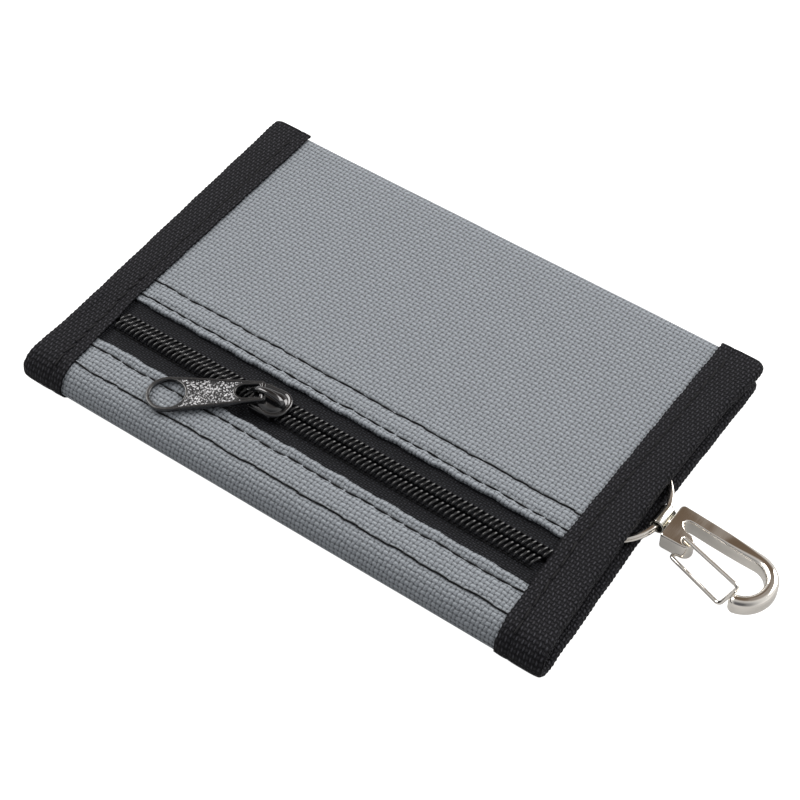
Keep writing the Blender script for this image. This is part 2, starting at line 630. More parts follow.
# %% Front cloth
hem_in = free_y - 8.5
upper_profile = smooth_line([
    (lip_up_y + 6.0, top_z - 0.47), (lip_up_y + 1.2, top_z - 0.47), (lip_up_y + 0.38, top_z - 0.42),
    (lip_up_y + 0.15, top_z - 0.15), (lip_up_y + 0.4, top_z + 0.14), (lip_up_y + 0.95, top_z + 0.24),
    (lip_up_y + 1.9, top_z - 0.1), (lip_up_y + 2.8, top_z + 0.1), (lip_up_y + 4.3, top_z + 0.12),
    (lip_up_y + 5.8, top_z - 0.02), (lip_up_y + 6.6, top_z - 0.24), (lip_up_y + 7.4, top_z - 0.1),
    (lip_up_y + 9.0, top_z - 0.16), (10, top_z - 0.22), (free_y - 5, top_z - 0.24),
    (free_y - 2.0, top_z - 0.34), (free_y - 0.8, top_z - 0.7), (free_y - 0.25, top_z - 1.3),
    (free_y - 0.8, top_z - 2.05),
    (free_y - 2.0, top_z - 2.3), (hem_in, top_z - 2.32)])
upper_rows = ((STITCH_ROWS["upper_near"], 0.4), (STITCH_ROWS["upper_far"], 2.3))
front_grid = carry(upper_profile, cloth_xs, ((lip_up_y, 0.0),), upper_rows)
front_cloth = sheet_piece("front_cloth", front_grid, CLOTH, grey_cloth)
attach(front_cloth, "front_cover")
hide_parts("front_outer_panel")
print("front cloth:", len(front_cloth.data.polygons), "faces")

# %% Fold cloth, upper half
flat_end = fold_line(CLOTH / 2, True)
lower_profile = np.vstack([smooth_line([
    (lip_down_y - 6.5, top_z - 0.47), (lip_down_y - 1.0, top_z - 0.47), (lip_down_y - 0.38, top_z - 0.42),
    (lip_down_y - 0.15, top_z - 0.15), (lip_down_y - 0.4, top_z + 0.14), (lip_down_y - 1.1, top_z + 0.26),
    (lip_down_y - 2.4, top_z - 0.1), (lip_down_y - 3.4, top_z + 0.1), (lip_down_y - 5.5, top_z + 0.06),
    (lip_down_y - 7.3, top_z - 0.12), tuple(flat_end[0] - (0, 0.02))]), flat_end[1:]])
lower_rows = ((STITCH_ROWS["lower_near"], 1.1), (STITCH_ROWS["lower_far"], 3.0))
fold_grid = carry(lower_profile, cloth_xs, ((lip_down_y, 2.0),), lower_rows)[:, ::-1]
fold_cloth = sheet_piece("fold_cloth", fold_grid, CLOTH, grey_cloth)
UPPER_BEND = ((0, -0.0406, 0.0078), (0, -0.0422, 0.0058))
LOWER_BEND = ((0, -0.0406, 0.0006), (0, -0.0422, 0.0026))
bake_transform(fold_cloth)
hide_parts("front_lower_strip", "spine_panel")

# %% Back cloth, with the lower half of the fold
back_line = fold_line(CLOTH / 2, False)
back_profile = np.vstack([smooth_line([
    (hem_in, 2.32), (free_y - 2.0, 2.3), (free_y - 0.8, 2.05), (free_y - 0.25, 1.4),
    (free_y - 0.8, 0.85), (free_y - 2.0, 0.62), (free_y - 5, BACK_RISE + CLOTH / 2),
    (0, BACK_RISE + CLOTH / 2), (-30, BACK_RISE + CLOTH / 2), tuple(back_line[0])]), back_line[1:]])
back_cloth = sheet_piece("back_cloth", carry(back_profile, cloth_xs, sign=-0.5)[:, ::-1], CLOTH, grey_cloth)
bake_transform(back_cloth)
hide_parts("back_outer_panel")
print("fold and back cloth:", len(fold_cloth.data.polygons), len(back_cloth.data.polygons), "faces")


# %% [markdown]
# ## Edge tape
# A woven tape is folded round each short end and sewn through with one row. Its section is a flattened C:
# the visible leg, the rounded end and the leg inside. The section is carried from the free edge along the
# cover and half way round the fold. Near the fold the C gets shallower, because the layers end there.

# %% Line that the tape follows
TAPE = 0.36


def cover_line(upper):
    """(y, z) points of the outer face from the free edge to the middle of the fold, and unit normals."""
    flat_z = FOLD_TOP if upper else BACK_RISE
    flat_y = np.linspace(free_y + 0.1, FOLD_CENTRE_Y, 320)
    flat = np.stack([flat_y, np.full(len(flat_y), flat_z)], -1)
    line = np.vstack([flat, fold_line(0.0, upper)[1:]])
    slope = np.gradient(line, axis=0)
    slope /= np.linalg.norm(slope, axis=1, keepdims=True)
    normal = np.stack([slope[:, 1], -slope[:, 0]], -1) * (1 if upper else -1)
    return line, normal


# How far the right end stands out at each place along Y: the front cover is drawn in near its middle, the
# back cover shows beside it, and both spread towards the fold, where the tape was bent round.
FRONT_PLACES = [-43.5, -36, -30, -22, -10, 5, 30, 41]
FRONT_OUT = [1.9, 1.0, 0.5, 0.0, -0.6, -1.0, -1.0, 0.0]
BACK_PLACES = [-43.5, -36, -30, -23, -12.6, 8, 43]
BACK_OUT = [1.9, 1.5, 1.3, 0.9, 0.4, -0.6, -0.7]
CORNER = 0.9
LOOP_PITCH = 1.2


def selvage(y):
    """The small loops along a woven edge."""
    return 0.08 * np.cos(2 * np.pi * y / LOOP_PITCH + 0.8 * np.sin(y / 3.1))


def end_edge(y, right, upper):
    """How far the taped end reaches along X; the ends are a little uneven, and round at the corner."""
    if not right:
        reach = end_x + 0.022 * y + np.interp(y, [-43.5, -38, -28], [1.0, 0.5, 0.0])
    elif upper:
        reach = end_x + np.interp(y, FRONT_PLACES, FRONT_OUT)
    else:
        reach = end_x + np.interp(y, BACK_PLACES, BACK_OUT)
    corner = np.clip(y - (free_y - CORNER), 0, CORNER)
    rounding = CORNER - np.sqrt(np.maximum(CORNER ** 2 - corner ** 2, 0))
    return reach - rounding + 0.08 * ripple(y, 1.3 + right, 13.0) + selvage(y)


def inner_edge(y, right, upper):
    """Where the visible leg of the tape ends, towards the middle of the wallet."""
    start = tape_in_x + np.interp(y, [-43.5, -18], [1.7, 0.0] if right else [-0.4, 1.2])
    return start + 0.1 * ripple(y, 2.0 * right + upper, 10.0) + 1.2 * selvage(y + 0.5)


# %% Tape pieces
LEG_END = -0.6                   # below this depth the section is the rounded end and the inner leg
STITCH_SHARE = 0.30              # where the sewn row lies across the tape


def tape_piece(name, right, upper):
    line, normal = cover_line(upper)
    y = line[:, 0]
    inner_x = inner_edge(y, right, upper)
    outer_x = end_edge(y, right, upper)
    half = TAPE / 2
    section = smooth_line([
        (0.0, half + 0.02), (0.12, half + 0.08), (0.2, half + 0.1), (0.27, half + 0.03), (0.30, half - 0.05),
        (0.33, half + 0.04), (0.42, half + 0.12), (0.6, half + 0.12), (0.8, half + 0.1), (0.93, half - 0.02),
        (0.985, -0.35), (0.995, -1.2), (0.98, -2.0), (0.93, -2.38), (0.8, -2.45), (0.3, -2.42),
        (0.12, -2.42)],
        fine=0.04, coarse=0.1)
    depth_share = 1 - 0.62 * np.clip((-y - 36.0) / 7.0, 0, 1)
    share, depth = section[None, :, 0], section[None, :, 1]
    reach = np.where(depth < LEG_END, depth * depth_share[:, None], depth)
    if upper:
        reach = reach - 0.22 * bell(y, zip_mid_y, 4.8)[:, None] * (share < 0.75)
    pulled = 0.05 * np.cos(2 * np.pi * steps_along(line) / ROW_PITCH)[:, None]
    reach = reach + pulled * bell(share, STITCH_SHARE, 0.035)
    x = inner_x[:, None] + share * (outer_x - inner_x)[:, None]
    sign = 1 if right else -1
    grid = np.dstack([sign * x, y[:, None] + normal[:, None, 0] * reach,
                      line[:, None, 1] + normal[:, None, 1] * reach])
    if right == upper:
        grid = grid[:, ::-1]
    piece = sheet_piece(name, grid, TAPE, edge_tape)
    cover = "front" if upper else "back"
    hand = "right" if right else "left"
    if upper:
        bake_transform(piece)
    else:
        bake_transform(piece)
    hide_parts(f"{cover}_binding_{hand}", f"spine_binding_{hand}")
    return piece


tapes = [tape_piece(f"{'front' if upper else 'back'}_tape_{'right' if right else 'left'}", right, upper)
         for upper in (True, False) for right in (True, False)]
print("edge tape:", [t.name for t in tapes])


# %% [markdown]
# ## Repeated shapes with Geometry Nodes
# Stitches, coil teeth and fastener hooks are one small shape repeated along a path, so one node tree serves
# all three. It turns the path into points at an even spacing, aims a copy of the shape along the path, turns
# each copy a little at random from a fixed seed, and ends as one plain mesh.

# %% Repeat tree
repeat_tree = bpy.data.node_groups.new("Repeat along path", "GeometryNodeTree")
socket(repeat_tree, "Path", "NodeSocketGeometry", "INPUT")
socket(repeat_tree, "Shape", "NodeSocketObject", "INPUT")
socket(repeat_tree, "Spacing", "NodeSocketFloat", "INPUT", 0.0035)
socket(repeat_tree, "Turn Variation", "NodeSocketVector", "INPUT", (0.0, 0.0, 0.0))
socket(repeat_tree, "Seed", "NodeSocketInt", "INPUT", 7)
socket(repeat_tree, "Material", "NodeSocketMaterial", "INPUT")
socket(repeat_tree, "Geometry", "NodeSocketGeometry", "OUTPUT")
nodes, links = repeat_tree.nodes, repeat_tree.links
enter = nodes.new("NodeGroupInput")
leave = nodes.new("NodeGroupOutput")
to_curve = nodes.new("GeometryNodeMeshToCurve")
to_points = nodes.new("GeometryNodeCurveToPoints")
to_points.mode = "LENGTH"
aim = nodes.new("FunctionNodeAlignRotationToVector")
aim.axis = "X"
level = nodes.new("FunctionNodeAlignRotationToVector")
level.axis = "Z"
level.pivot_axis = "X"
level.inputs["Vector"].default_value = (0, 0, 1)
least = nodes.new("ShaderNodeVectorMath")
least.operation = "SCALE"
least.inputs["Scale"].default_value = -1.0
chance = nodes.new("FunctionNodeRandomValue")
chance.data_type = "FLOAT_VECTOR"
to_turn = nodes.new("FunctionNodeEulerToRotation")
turn = nodes.new("FunctionNodeRotateRotation")
turn.rotation_space = "LOCAL"
shape_info = nodes.new("GeometryNodeObjectInfo")
shape_info.inputs["As Instance"].default_value = True
copies = nodes.new("GeometryNodeInstanceOnPoints")
real = nodes.new("GeometryNodeRealizeInstances")
dress = nodes.new("GeometryNodeSetMaterial")
links.new(enter.outputs["Path"], to_curve.inputs["Mesh"])
links.new(to_curve.outputs["Curve"], to_points.inputs["Curve"])
links.new(enter.outputs["Spacing"], to_points.inputs["Length"])
links.new(to_points.outputs["Tangent"], aim.inputs["Vector"])
links.new(aim.outputs["Rotation"], level.inputs["Rotation"])
links.new(enter.outputs["Turn Variation"], least.inputs[0])
links.new(least.outputs["Vector"], chance.inputs[0])
links.new(enter.outputs["Turn Variation"], chance.inputs[1])
links.new(enter.outputs["Seed"], chance.inputs["Seed"])
links.new(chance.outputs[0], to_turn.inputs["Euler"])
links.new(level.outputs["Rotation"], turn.inputs["Rotation"])
links.new(to_turn.outputs["Rotation"], turn.inputs["Rotate By"])
links.new(enter.outputs["Shape"], shape_info.inputs["Object"])
links.new(to_points.outputs["Points"], copies.inputs["Points"])
links.new(shape_info.outputs["Geometry"], copies.inputs["Instance"])
links.new(turn.outputs["Rotation"], copies.inputs["Rotation"])
links.new(copies.outputs["Instances"], real.inputs["Geometry"])
links.new(real.outputs["Geometry"], dress.inputs["Geometry"])
links.new(enter.outputs["Material"], dress.inputs["Material"])
links.new(dress.outputs["Geometry"], leave.inputs["Geometry"])
repeat_inputs = {item.name: item.identifier for item in repeat_tree.interface.items_tree
                 if item.in_out == "INPUT"}


# %% Run the tree on paths
def repeat(name, paths, shape, spacing, material, variation=(0, 0, 0), seed=7):
    """A plain mesh of copies of shape along the given paths (mm)."""
    points, edges = [], []
    for path in paths:
        first = len(points)
        points += [tuple(c * MM for c in p) for p in path]
        edges += [(i, i + 1) for i in range(first, len(points) - 1)]
    line = bpy.data.meshes.new(name + "_path")
    line.from_pydata(points, edges, [])
    piece = bpy.data.objects.new(name, line)
    scene.collection.objects.link(piece)
    modifier = piece.modifiers.new("repeat", "NODES")
    modifier.node_group = repeat_tree
    values = {"Shape": shape, "Spacing": spacing * MM, "Turn Variation": variation, "Seed": seed,
              "Material": material}
    for label, value in values.items():
        modifier[repeat_inputs[label]] = value
    piece.update_tag()
    plain = bpy.data.meshes.new_from_object(piece.evaluated_get(bpy.context.evaluated_depsgraph_get()))
    piece.modifiers.clear()
    piece.data = plain
    plain.materials.clear()
    plain.materials.append(material)
    plain.polygons.foreach_set("use_smooth", [True] * len(plain.polygons))
    bpy.data.meshes.remove(line)
    print(name, "-", len(plain.polygons), "faces")
    return piece


# %% [markdown]
# ## Wire and plate helpers
# Wire is a section carried along a path with a frame that never twists. A cast or stamped part is a plate:
# its outline is inset a little at the top and bottom, which leaves the small round edge that catches light.

# %% Wire
def wire_mesh(path, section, scale=None, closed=False):
    """Points and faces of a section (y, z) carried along a path; scale shrinks it at each point."""
    path = np.array(path, float)
    count = len(path)
    scale = np.ones(count) if scale is None else scale
    ahead = np.roll(path, -1, 0) - np.roll(path, 1, 0) if closed else np.gradient(path, axis=0)
    ahead /= np.linalg.norm(ahead, axis=1, keepdims=True)
    start = np.array([0, 0, 1.0]) if abs(ahead[0][2]) < 0.9 else np.array([0, 1.0, 0])
    first = start - ahead[0] * (start @ ahead[0])
    ups = [first / np.linalg.norm(first)]
    for tangent in ahead[1:]:
        v = ups[-1] - tangent * (ups[-1] @ tangent)
        ups.append(v / np.linalg.norm(v))
    ups = np.array(ups)
    sides = np.cross(ups, ahead)
    section = np.array(section, float)
    size = len(section)
    rings = (path[:, None] + scale[:, None, None] * (section[None, :, :1] * sides[:, None] +
                                                     section[None, :, 1:] * ups[:, None]))
    points = rings.reshape(-1, 3)
    faces = []
    last = count if closed else count - 1
    for i in range(last):
        for j in range(size):
            a, b = i * size + j, i * size + (j + 1) % size
            c, d = ((i + 1) % count) * size + (j + 1) % size, ((i + 1) % count) * size + j
            faces.append((a, d, c, b))
    if not closed:
        faces.append(tuple(range(size)))
        faces.append(tuple(range((count - 1) * size, count * size))[::-1])
    return points, faces, [True] * len(faces)


def round_section(radius, sides=12):
    angle = np.linspace(0, 2 * np.pi, sides, endpoint=False)
    return np.stack([radius * np.cos(angle), radius * np.sin(angle)], -1)


def box_section(width, height, corner, steps=4):
    """A rectangle with round corners, as (y, z) points."""
    points = []
    for k, (sy, sz) in enumerate(((1, 1), (-1, 1), (-1, -1), (1, -1))):
        for angle in np.radians(np.linspace(90 * k, 90 * k + 90, steps)):
            points.append((sy * (width / 2 - corner) + corner * math.cos(angle),
                           sz * (height / 2 - corner) + corner * math.sin(angle)))
    return np.array(points)


def round_ends(path, radius, steps=4):
    """Extra points and scales that close a wire with half-round ends."""
    path = np.array(path, float)
    head = path[0] - path[1]
    tail = path[-1] - path[-2]
    head, tail = head / np.linalg.norm(head), tail / np.linalg.norm(tail)
    angle = np.radians(np.linspace(86, 0, steps, endpoint=False))
    before = [path[0] + head * radius * math.sin(a) for a in angle]
    after = [path[-1] + tail * radius * math.sin(a) for a in angle[::-1]]
    scale = np.concatenate([np.cos(angle), np.ones(len(path)), np.cos(angle[::-1])])
    return np.array([*before, *path, *after]), scale


def rounded_path(points, radius, steps=6):
    """A path of straight runs with round corners."""
    p = [np.array(q, float) for q in points]
    out = [p[0]]
    for a, b, c in zip(p, p[1:], p[2:]):
        cut = min(radius, np.linalg.norm(a - b) * 0.45, np.linalg.norm(c - b) * 0.45)
        start = b + (a - b) / np.linalg.norm(a - b) * cut
        end = b + (c - b) / np.linalg.norm(c - b) * cut
        for t in np.linspace(0, 1, steps):
            out.append((1 - t) ** 2 * start + 2 * t * (1 - t) * b + t * t * end)
    return np.array([*out, p[-1]])


# %% Plates
def hull_loop(circles, steps=48):
    """The outline stretched round circles (x, y, radius), anticlockwise."""
    angle = np.linspace(0, 2 * np.pi, steps, endpoint=False)
    cloud = sorted({(round(x + r * math.cos(a), 5), round(y + r * math.sin(a), 5))
                    for x, y, r in circles for a in angle})

    def half(points):
        chain = []
        for p in points:
            while len(chain) > 1 and ((chain[-1][0] - chain[-2][0]) * (p[1] - chain[-2][1]) -
                                      (chain[-1][1] - chain[-2][1]) * (p[0] - chain[-2][0])) <= 1e-7:
                chain.pop()
            chain.append(p)
        return chain[:-1]

    return np.array(half(cloud) + half(cloud[::-1]))


def circle_loop(x, y, radius, steps=48):
    angle = np.linspace(0, 2 * np.pi, steps, endpoint=False)
    return np.stack([x + radius * np.cos(angle), y + radius * np.sin(angle)], -1)


def inset(loop, distance):
    """The loop moved inwards by a distance, which may differ from point to point."""
    before, after = loop - np.roll(loop, 1, 0), np.roll(loop, -1, 0) - loop
    before /= np.maximum(np.linalg.norm(before, axis=1, keepdims=True), 1e-9)
    after /= np.maximum(np.linalg.norm(after, axis=1, keepdims=True), 1e-9)
    normal = np.stack([-(before + after)[:, 1], (before + after)[:, 0]], -1)
    normal /= np.linalg.norm(normal, axis=1, keepdims=True)
    lean = np.clip((normal * np.stack([-before[:, 1], before[:, 0]], -1)).sum(1), 0.5, 1)
    return loop + normal * (np.broadcast_to(distance, len(loop)) / lean)[:, None]


def plate_mesh(outline, holes, low, high, edge, steps=4):
    """Points and faces of a plate between two heights, with its edges rounded by edge."""
    loops = [np.array(outline)] + [np.array(h)[::-1] for h in holes]
    edges = [edge] + [np.min(edge)] * len(holes)
    angle = np.radians(np.linspace(0, 90, steps + 1))
    points, faces, smooth, rims = [], [], [], []
    for loop, e in zip(loops, edges):
        e = np.broadcast_to(e, len(loop))
        layers = [(inset(loop, e * (1 - math.sin(a))), low + e * (1 - math.cos(a))) for a in angle]
        layers += [(inset(loop, e * (1 - math.sin(a))), high - e * (1 - math.cos(a))) for a in angle[::-1]]
        first = len(points)
        for ring, z in layers:
            points += [(x, y, h) for (x, y), h in zip(ring, z)]
        size = len(loop)
        for i in range(len(layers) - 1):
            for j in range(size):
                a, b = first + i * size + j, first + i * size + (j + 1) % size
                faces.append((a, b, b + size, a + size))
                smooth.append(True)
        rims.append((first, first + (len(layers) - 1) * size, size))
    for top in (False, True):
        rings = [[points[(last if top else start) + j] for j in range(size)] for start, last, size in rims]
        lookup = [(last if top else start) + j for start, last, size in rims for j in range(size)]
        for t in tessellate_polygon([[Vector((x, y, 0)) for x, y, _ in ring] for ring in rings]):
            a, b, c = (np.array(points[lookup[i]]) for i in t)
            turn_up = (b - a)[0] * (c - a)[1] - (b - a)[1] * (c - a)[0] > 0
            face = tuple(lookup[i] for i in t)
            faces.append(face if turn_up == top else face[::-1])
            smooth.append(False)
    return np.array(points, float), faces, smooth


# %% Join meshes into a piece
def solid_piece(name, parts, materials, place=None):
    """One piece from parts (points, faces, smooth, material number), moved by a matrix in mm."""
    points, faces, smooth, numbers = [], [], [], []
    for part_points, part_faces, part_smooth, number in parts:
        first = len(points)
        points += [tuple(p) for p in part_points]
        faces += [tuple(first + i for i in f) for f in part_faces]
        smooth += part_smooth
        numbers += [number] * len(part_faces)
    if place is not None:
        points = [tuple(place @ Vector(p)) for p in points]
    mesh = bpy.data.meshes.new(name)
    mesh.from_pydata([tuple(c * MM for c in p) for p in points], [], faces)
    for material in materials:
        mesh.materials.append(material)
    mesh.polygons.foreach_set("use_smooth", smooth)
    mesh.polygons.foreach_set("material_index", numbers)
    mesh.update()
    return link_piece(name, mesh, None)


def fits(piece, body, slot, *cad_nodes):
    """Rides the piece on its body, in place of its CAD nodes."""
    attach(piece, body)
    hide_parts(*cad_nodes)
    return piece


# %% [markdown]
# ## Topstitching
# Rows of black thread hold the folded cloth down beside the zip and hold the edge tape on. Each stitch is a
# short spindle that sinks into the cloth at both ends. Its path is dropped onto the finished cloth from above
# with a ray, so the thread always lies on the surface.

# %% Stitch paths
from mathutils.bvhtree import BVHTree


def drop_on(piece, points, directions, lift):
    """Points moved along their directions onto the piece, then lifted back off it by lift (mm)."""
    tree = BVHTree.FromObject(piece, bpy.context.evaluated_depsgraph_get())
    out = []
    for p, d in zip(points, directions):
        d = Vector(d).normalized()
        hit, _, _, _ = tree.ray_cast((Vector(p) - 3 * d) * MM, d)
        if hit is not None:
            out.append(tuple(hit / MM - d * lift))
    return out


spindle_rise = [-0.06, 0.03, 0.06, 0.08, 0.06, 0.03, -0.06]
spindle_scale = np.array([0.55, 0.9, 1.0, 1.0, 1.0, 0.9, 0.55])
spindle_line = np.stack([np.linspace(-1.9, 1.9, 7), np.zeros(7), spindle_rise], -1)
spindle_part = wire_mesh(spindle_line, round_section(0.22, 6), spindle_scale)
spindle = solid_piece("stitch_shape", [(*spindle_part, 0)], [thread_nylon])
row_xs = np.linspace(-tape_in_x - 1, tape_in_x, 76)
cloth_rows = []
for centre, phase, piece in ((*upper_rows[0], front_cloth), (*upper_rows[1], front_cloth),
                             (*lower_rows[0], fold_cloth), (*lower_rows[1], fold_cloth)):
    row = [(x, centre + ROW_WAVE * ripple(x, phase, 17.0) + 0.06 * ripple(x, phase, 5.0), top_z)
           for x in row_xs]
    cloth_rows.append(drop_on(piece, row, [(0, 0, -1)] * len(row), 0.06))
front_stitches = repeat("front_stitches", cloth_rows, spindle, ROW_PITCH, thread_nylon,
                        (0.02, 0.03, 0.05), 11)
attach(front_stitches, "front_cover")


# %% Stitches on the edge tape
FREE_END_SKIP = {True: 20, False: 22}       # points left out at the free edge, on the upper and lower cover
FOLD_END_SKIP = 13                          # points left out at the fold


def tape_rows(piece, right, upper):
    """The row on the tape's visible leg, which stops short of both ends of the tape's line."""
    line, normal = cover_line(upper)
    inner_x = inner_edge(line[:, 0], right, upper)
    outer_x = end_edge(line[:, 0], right, upper)
    x = (inner_x + STITCH_SHARE * (outer_x - inner_x)) * (1 if right else -1)
    run = slice(FREE_END_SKIP[upper], -FOLD_END_SKIP)
    points = np.stack([x, line[:, 0], line[:, 1]], -1)[run]
    inward = np.stack([np.zeros(len(line)), -normal[:, 0], -normal[:, 1]], -1)[run]
    return drop_on(piece, points, inward, 0.04)


for upper, cover in ((True, "front"), (False, "back")):
    pair = [t for t in tapes if t.name.startswith(cover)]
    rows = [tape_rows(t, t.name.endswith("right"), upper) for t in pair]
    stitches = repeat(f"{cover}_tape_stitches", rows, spindle, ROW_PITCH, thread_nylon, (0.02, 0.03, 0.04), 5)
    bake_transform(stitches)


# %% [markdown]
# ## The zip
# A coil zip is a nylon wire wound into flat loops and sewn along the edge of a woven tape. Seen from above,
# each loop is a slanted bar with a wider head towards the middle. Closed, the heads lock between each other;
# past the slider the two rows stand apart. A thread runs along the outer ends of the loops, where they are
# sewn to the tape; it lies low, so that the slider passes over it.

# %% Zip tapes
def zip_tape(name, node, phase):
    low, high = span(node)
    ys = np.linspace(low[1], high[1], 24)
    xs = np.linspace(-layer_x, layer_x, 90)
    x, y = np.meshgrid(xs, ys, indexing="ij")
    mid = (low[2] + high[2]) / 2
    z = mid + 0.05 * ripple(x, phase, 23.0) * np.sin((y - low[1]) / 4.0)
    inner_edge = high[1] if "lower" in name else low[1]
    z = z - 0.10 * bell(y, inner_edge + (-3.6 if "lower" in name else 3.6), 0.45)
    return fits(sheet_piece(name, np.dstack([x, y, z]), 0.33, zip_cloth), "front_cover", "zip_tape", node)


zip_tape("zip_tape_cloth_upper", "zip_tape_upper", 0.5)
zip_tape("zip_tape_cloth_lower", "zip_tape_lower", 1.9)

# %% Coil teeth
slider_low, slider_high = span("slider_body")
slider_x = (slider_low[0] + slider_high[0]) / 2
TOOTH_PITCH = 1.24
tape_top = coil_low[2]
tooth_line = smooth_line([(-0.1, 0.28, 0.22), (-0.14, -0.2, 0.42), (-0.1, -0.1, 0.9), (0.06, 0.4, 1.12),
                          (0.26, 1.0, 1.14), (0.48, 1.65, 1.0), (0.62, 2.1, 0.6), (0.66, 2.18, 0.12)],
                         0.5, 0.5)
tooth_scale = np.interp(np.linspace(0, 1, len(tooth_line)), [0, 0.12, 0.3, 0.5, 1.0],
                        [0.9, 1.25, 1.2, 1.0, 0.9])
tooth_part = wire_mesh(tooth_line, round_section(0.31, 6), tooth_scale)
tooth = solid_piece("tooth_shape", [(*tooth_part, 0)], [coil_nylon])


COIL_CLOSED, COIL_OPEN = 0.02, 0.55
UPPER_PITCHES, LOWER_PITCHES = 42, 41.5


def spread(x):
    """How far each row stands from the middle: closed before the slider, open after it."""
    return COIL_CLOSED + COIL_OPEN * np.clip((x - slider_x + 1.0) / 4.0, 0, 1)


def coil_row(side):
    reach = TOOTH_PITCH * (UPPER_PITCHES if side > 0 else LOWER_PITCHES)
    xs = np.linspace(-reach, reach, 200)[::side]
    ys = zip_mid_y + side * spread(xs) + 0.04 * ripple(xs, side, 31.0)
    return [(x, y, tape_top) for x, y in zip(xs, ys)]


for side, node in ((1, "zip_coil_upper"), (-1, "zip_coil_lower")):
    coil = repeat(node.replace("zip_coil", "coil_teeth"), [coil_row(side)], tooth, TOOTH_PITCH, coil_nylon,
                  (0.03, 0.03, 0.03), 3)
    fits(coil, "front_cover", "zip_coil", node)

# %% Thread along the coil
CHAIN_REACH, CHAIN_RISE = 2.4, 0.16
chain_parts = []
for side in (1, -1):
    xs = np.arange(-52.0, 52.0, TOOTH_PITCH / 4)
    beat = np.cos(2 * np.pi * xs / TOOTH_PITCH)
    ys = zip_mid_y + side * (spread(xs) + CHAIN_REACH) + 0.05 * np.sin(np.pi * xs / TOOTH_PITCH)
    line = np.stack([xs, ys, tape_top + CHAIN_RISE + 0.02 * beat], -1)
    chain_parts.append((*wire_mesh(line, round_section(0.13, 5)), 0))
chain = solid_piece("coil_chain_thread", chain_parts, [thread_nylon])
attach(chain, "front_cover")
print("chain thread:", len(chain.data.polygons), "faces")

# %% [markdown]
# ## Slider and puller
# The slider is cast: two shield-shaped plates joined by a post, with a bridge on top. The puller hangs on the
# bridge by a bar, so its place and turn are read from the CAD joint. Its rim stands a little above a stippled
# panel, and the round hole has a rim of its own.

# %% Slider
plate_low, plate_high = slider_high[2] - 0.7, slider_high[2]
half_l = (slider_high[0] - slider_low[0]) / 2
half_s = (slider_high[1] - slider_low[1]) / 2
shield = hull_loop([(-half_l + 1.4, half_s - 1.9, 1.4), (-half_l + 1.4, 1.9 - half_s, 1.4),
                    (half_l - 3.2, half_s - 3.2, 3.2), (half_l - 3.2, 3.2 - half_s, 3.2)])


# Where the rings of the top lie, as shares of the way out from the centre.
CROWN_SHARES = (0.97, 0.93, 0.89, 0.84, 0.79, 0.73, 0.6, 0.4, 0.2)


def shield_rings(low, high, edge, rise):
    """A shield plate whose top is built from rings: a groove near its edge and a crown in its middle."""
    rings = []
    for a in np.radians(np.linspace(0, 90, 6)):
        rings.append((inset(shield, edge * (1 - math.sin(a))), low + edge * (1 - math.cos(a)), 0.0))
    for a in np.radians(np.linspace(90, 0, 6)):
        rings.append((inset(shield, edge * (1 - math.sin(a))), high - edge * (1 - math.cos(a)), 0.0))
    crown = inset(shield, edge)
    centre = crown.mean(0)
    for share in CROWN_SHARES:
        lift = rise * (1 - share ** 2) - 0.3 * bell(share, 0.84, 0.07)
        rings.append((centre + (crown - centre) * share, high, lift))
    points = [(x, y, z + lift) for ring, z, lift in rings for x, y in ring]
    size = len(shield)
    faces = [(i * size + j, i * size + (j + 1) % size, (i + 1) * size + (j + 1) % size, (i + 1) * size + j)
             for i in range(len(rings) - 1) for j in range(size)]
    faces.append(tuple(range(size))[::-1])
    faces.append(tuple(range((len(rings) - 1) * size, len(rings) * size)))
    return np.array(points), faces, [True] * len(faces)


slider_parts = [(*shield_rings(plate_low, plate_high, 0.33, 0.5), 0),
                (*plate_mesh(shield, [], slider_low[2], slider_low[2] + 0.4, 0.12), 0)]
post = hull_loop([(2.1, 0, 0.14), (3.7, 0, 0.14)], 12)
slider_parts.append((*plate_mesh(post, [], slider_low[2] + 0.1, plate_low + 0.3, 0.03, 2), 0))
for side in (1, -1):
    rail_y = side * (half_s - 0.3)
    rail = hull_loop([(-half_l + 1.3, rail_y, 0.26), (half_l - 2.3, rail_y, 0.26)], 16)
    slider_parts.append((*plate_mesh(rail, [], tape_top + 0.36, plate_low + 0.3, 0.12, 3), 0))
slider = solid_piece("zip_slider_body", slider_parts, [lacquer], Matrix.Translation((slider_x, zip_mid_y, 0)))
fits(slider, "zip_slider", "black_lacquer", "slider_body")

# %% Bridge on the slider
bail_low, bail_high = span("slider_bail")
bail_mid_y = (bail_low[1] + bail_high[1]) / 2
BAIL_HALF = 0.42
bail_turn = np.linspace(-1, 1, 33)
BAIL_SINK = 0.15                 # how far its feet go into the plate
bail_half_l = (bail_high[0] - bail_low[0] - 2 * BAIL_HALF) / 2
bail_rise = bail_high[2] - BAIL_HALF - bail_low[2] + BAIL_SINK
bail_x = (bail_low[0] + bail_high[0]) / 2 + bail_half_l * np.sin(np.pi / 2 * bail_turn)
bail_z = bail_low[2] - BAIL_SINK + bail_rise * np.cos(np.pi / 2 * bail_turn) ** 0.75
bail_line = np.stack([bail_x, np.full(33, bail_mid_y), bail_z], -1)
bail_part = wire_mesh(bail_line, box_section(0.84, 1.35, 0.41, 6))
bail = solid_piece("slider_bridge", [(*bail_part, 0)], [lacquer])
fits(bail, "zip_slider", "black_lacquer", "slider_bail")


# %% Puller
def joint(name):
    return next(j for j in frame["joints"] if j["name"] == name)


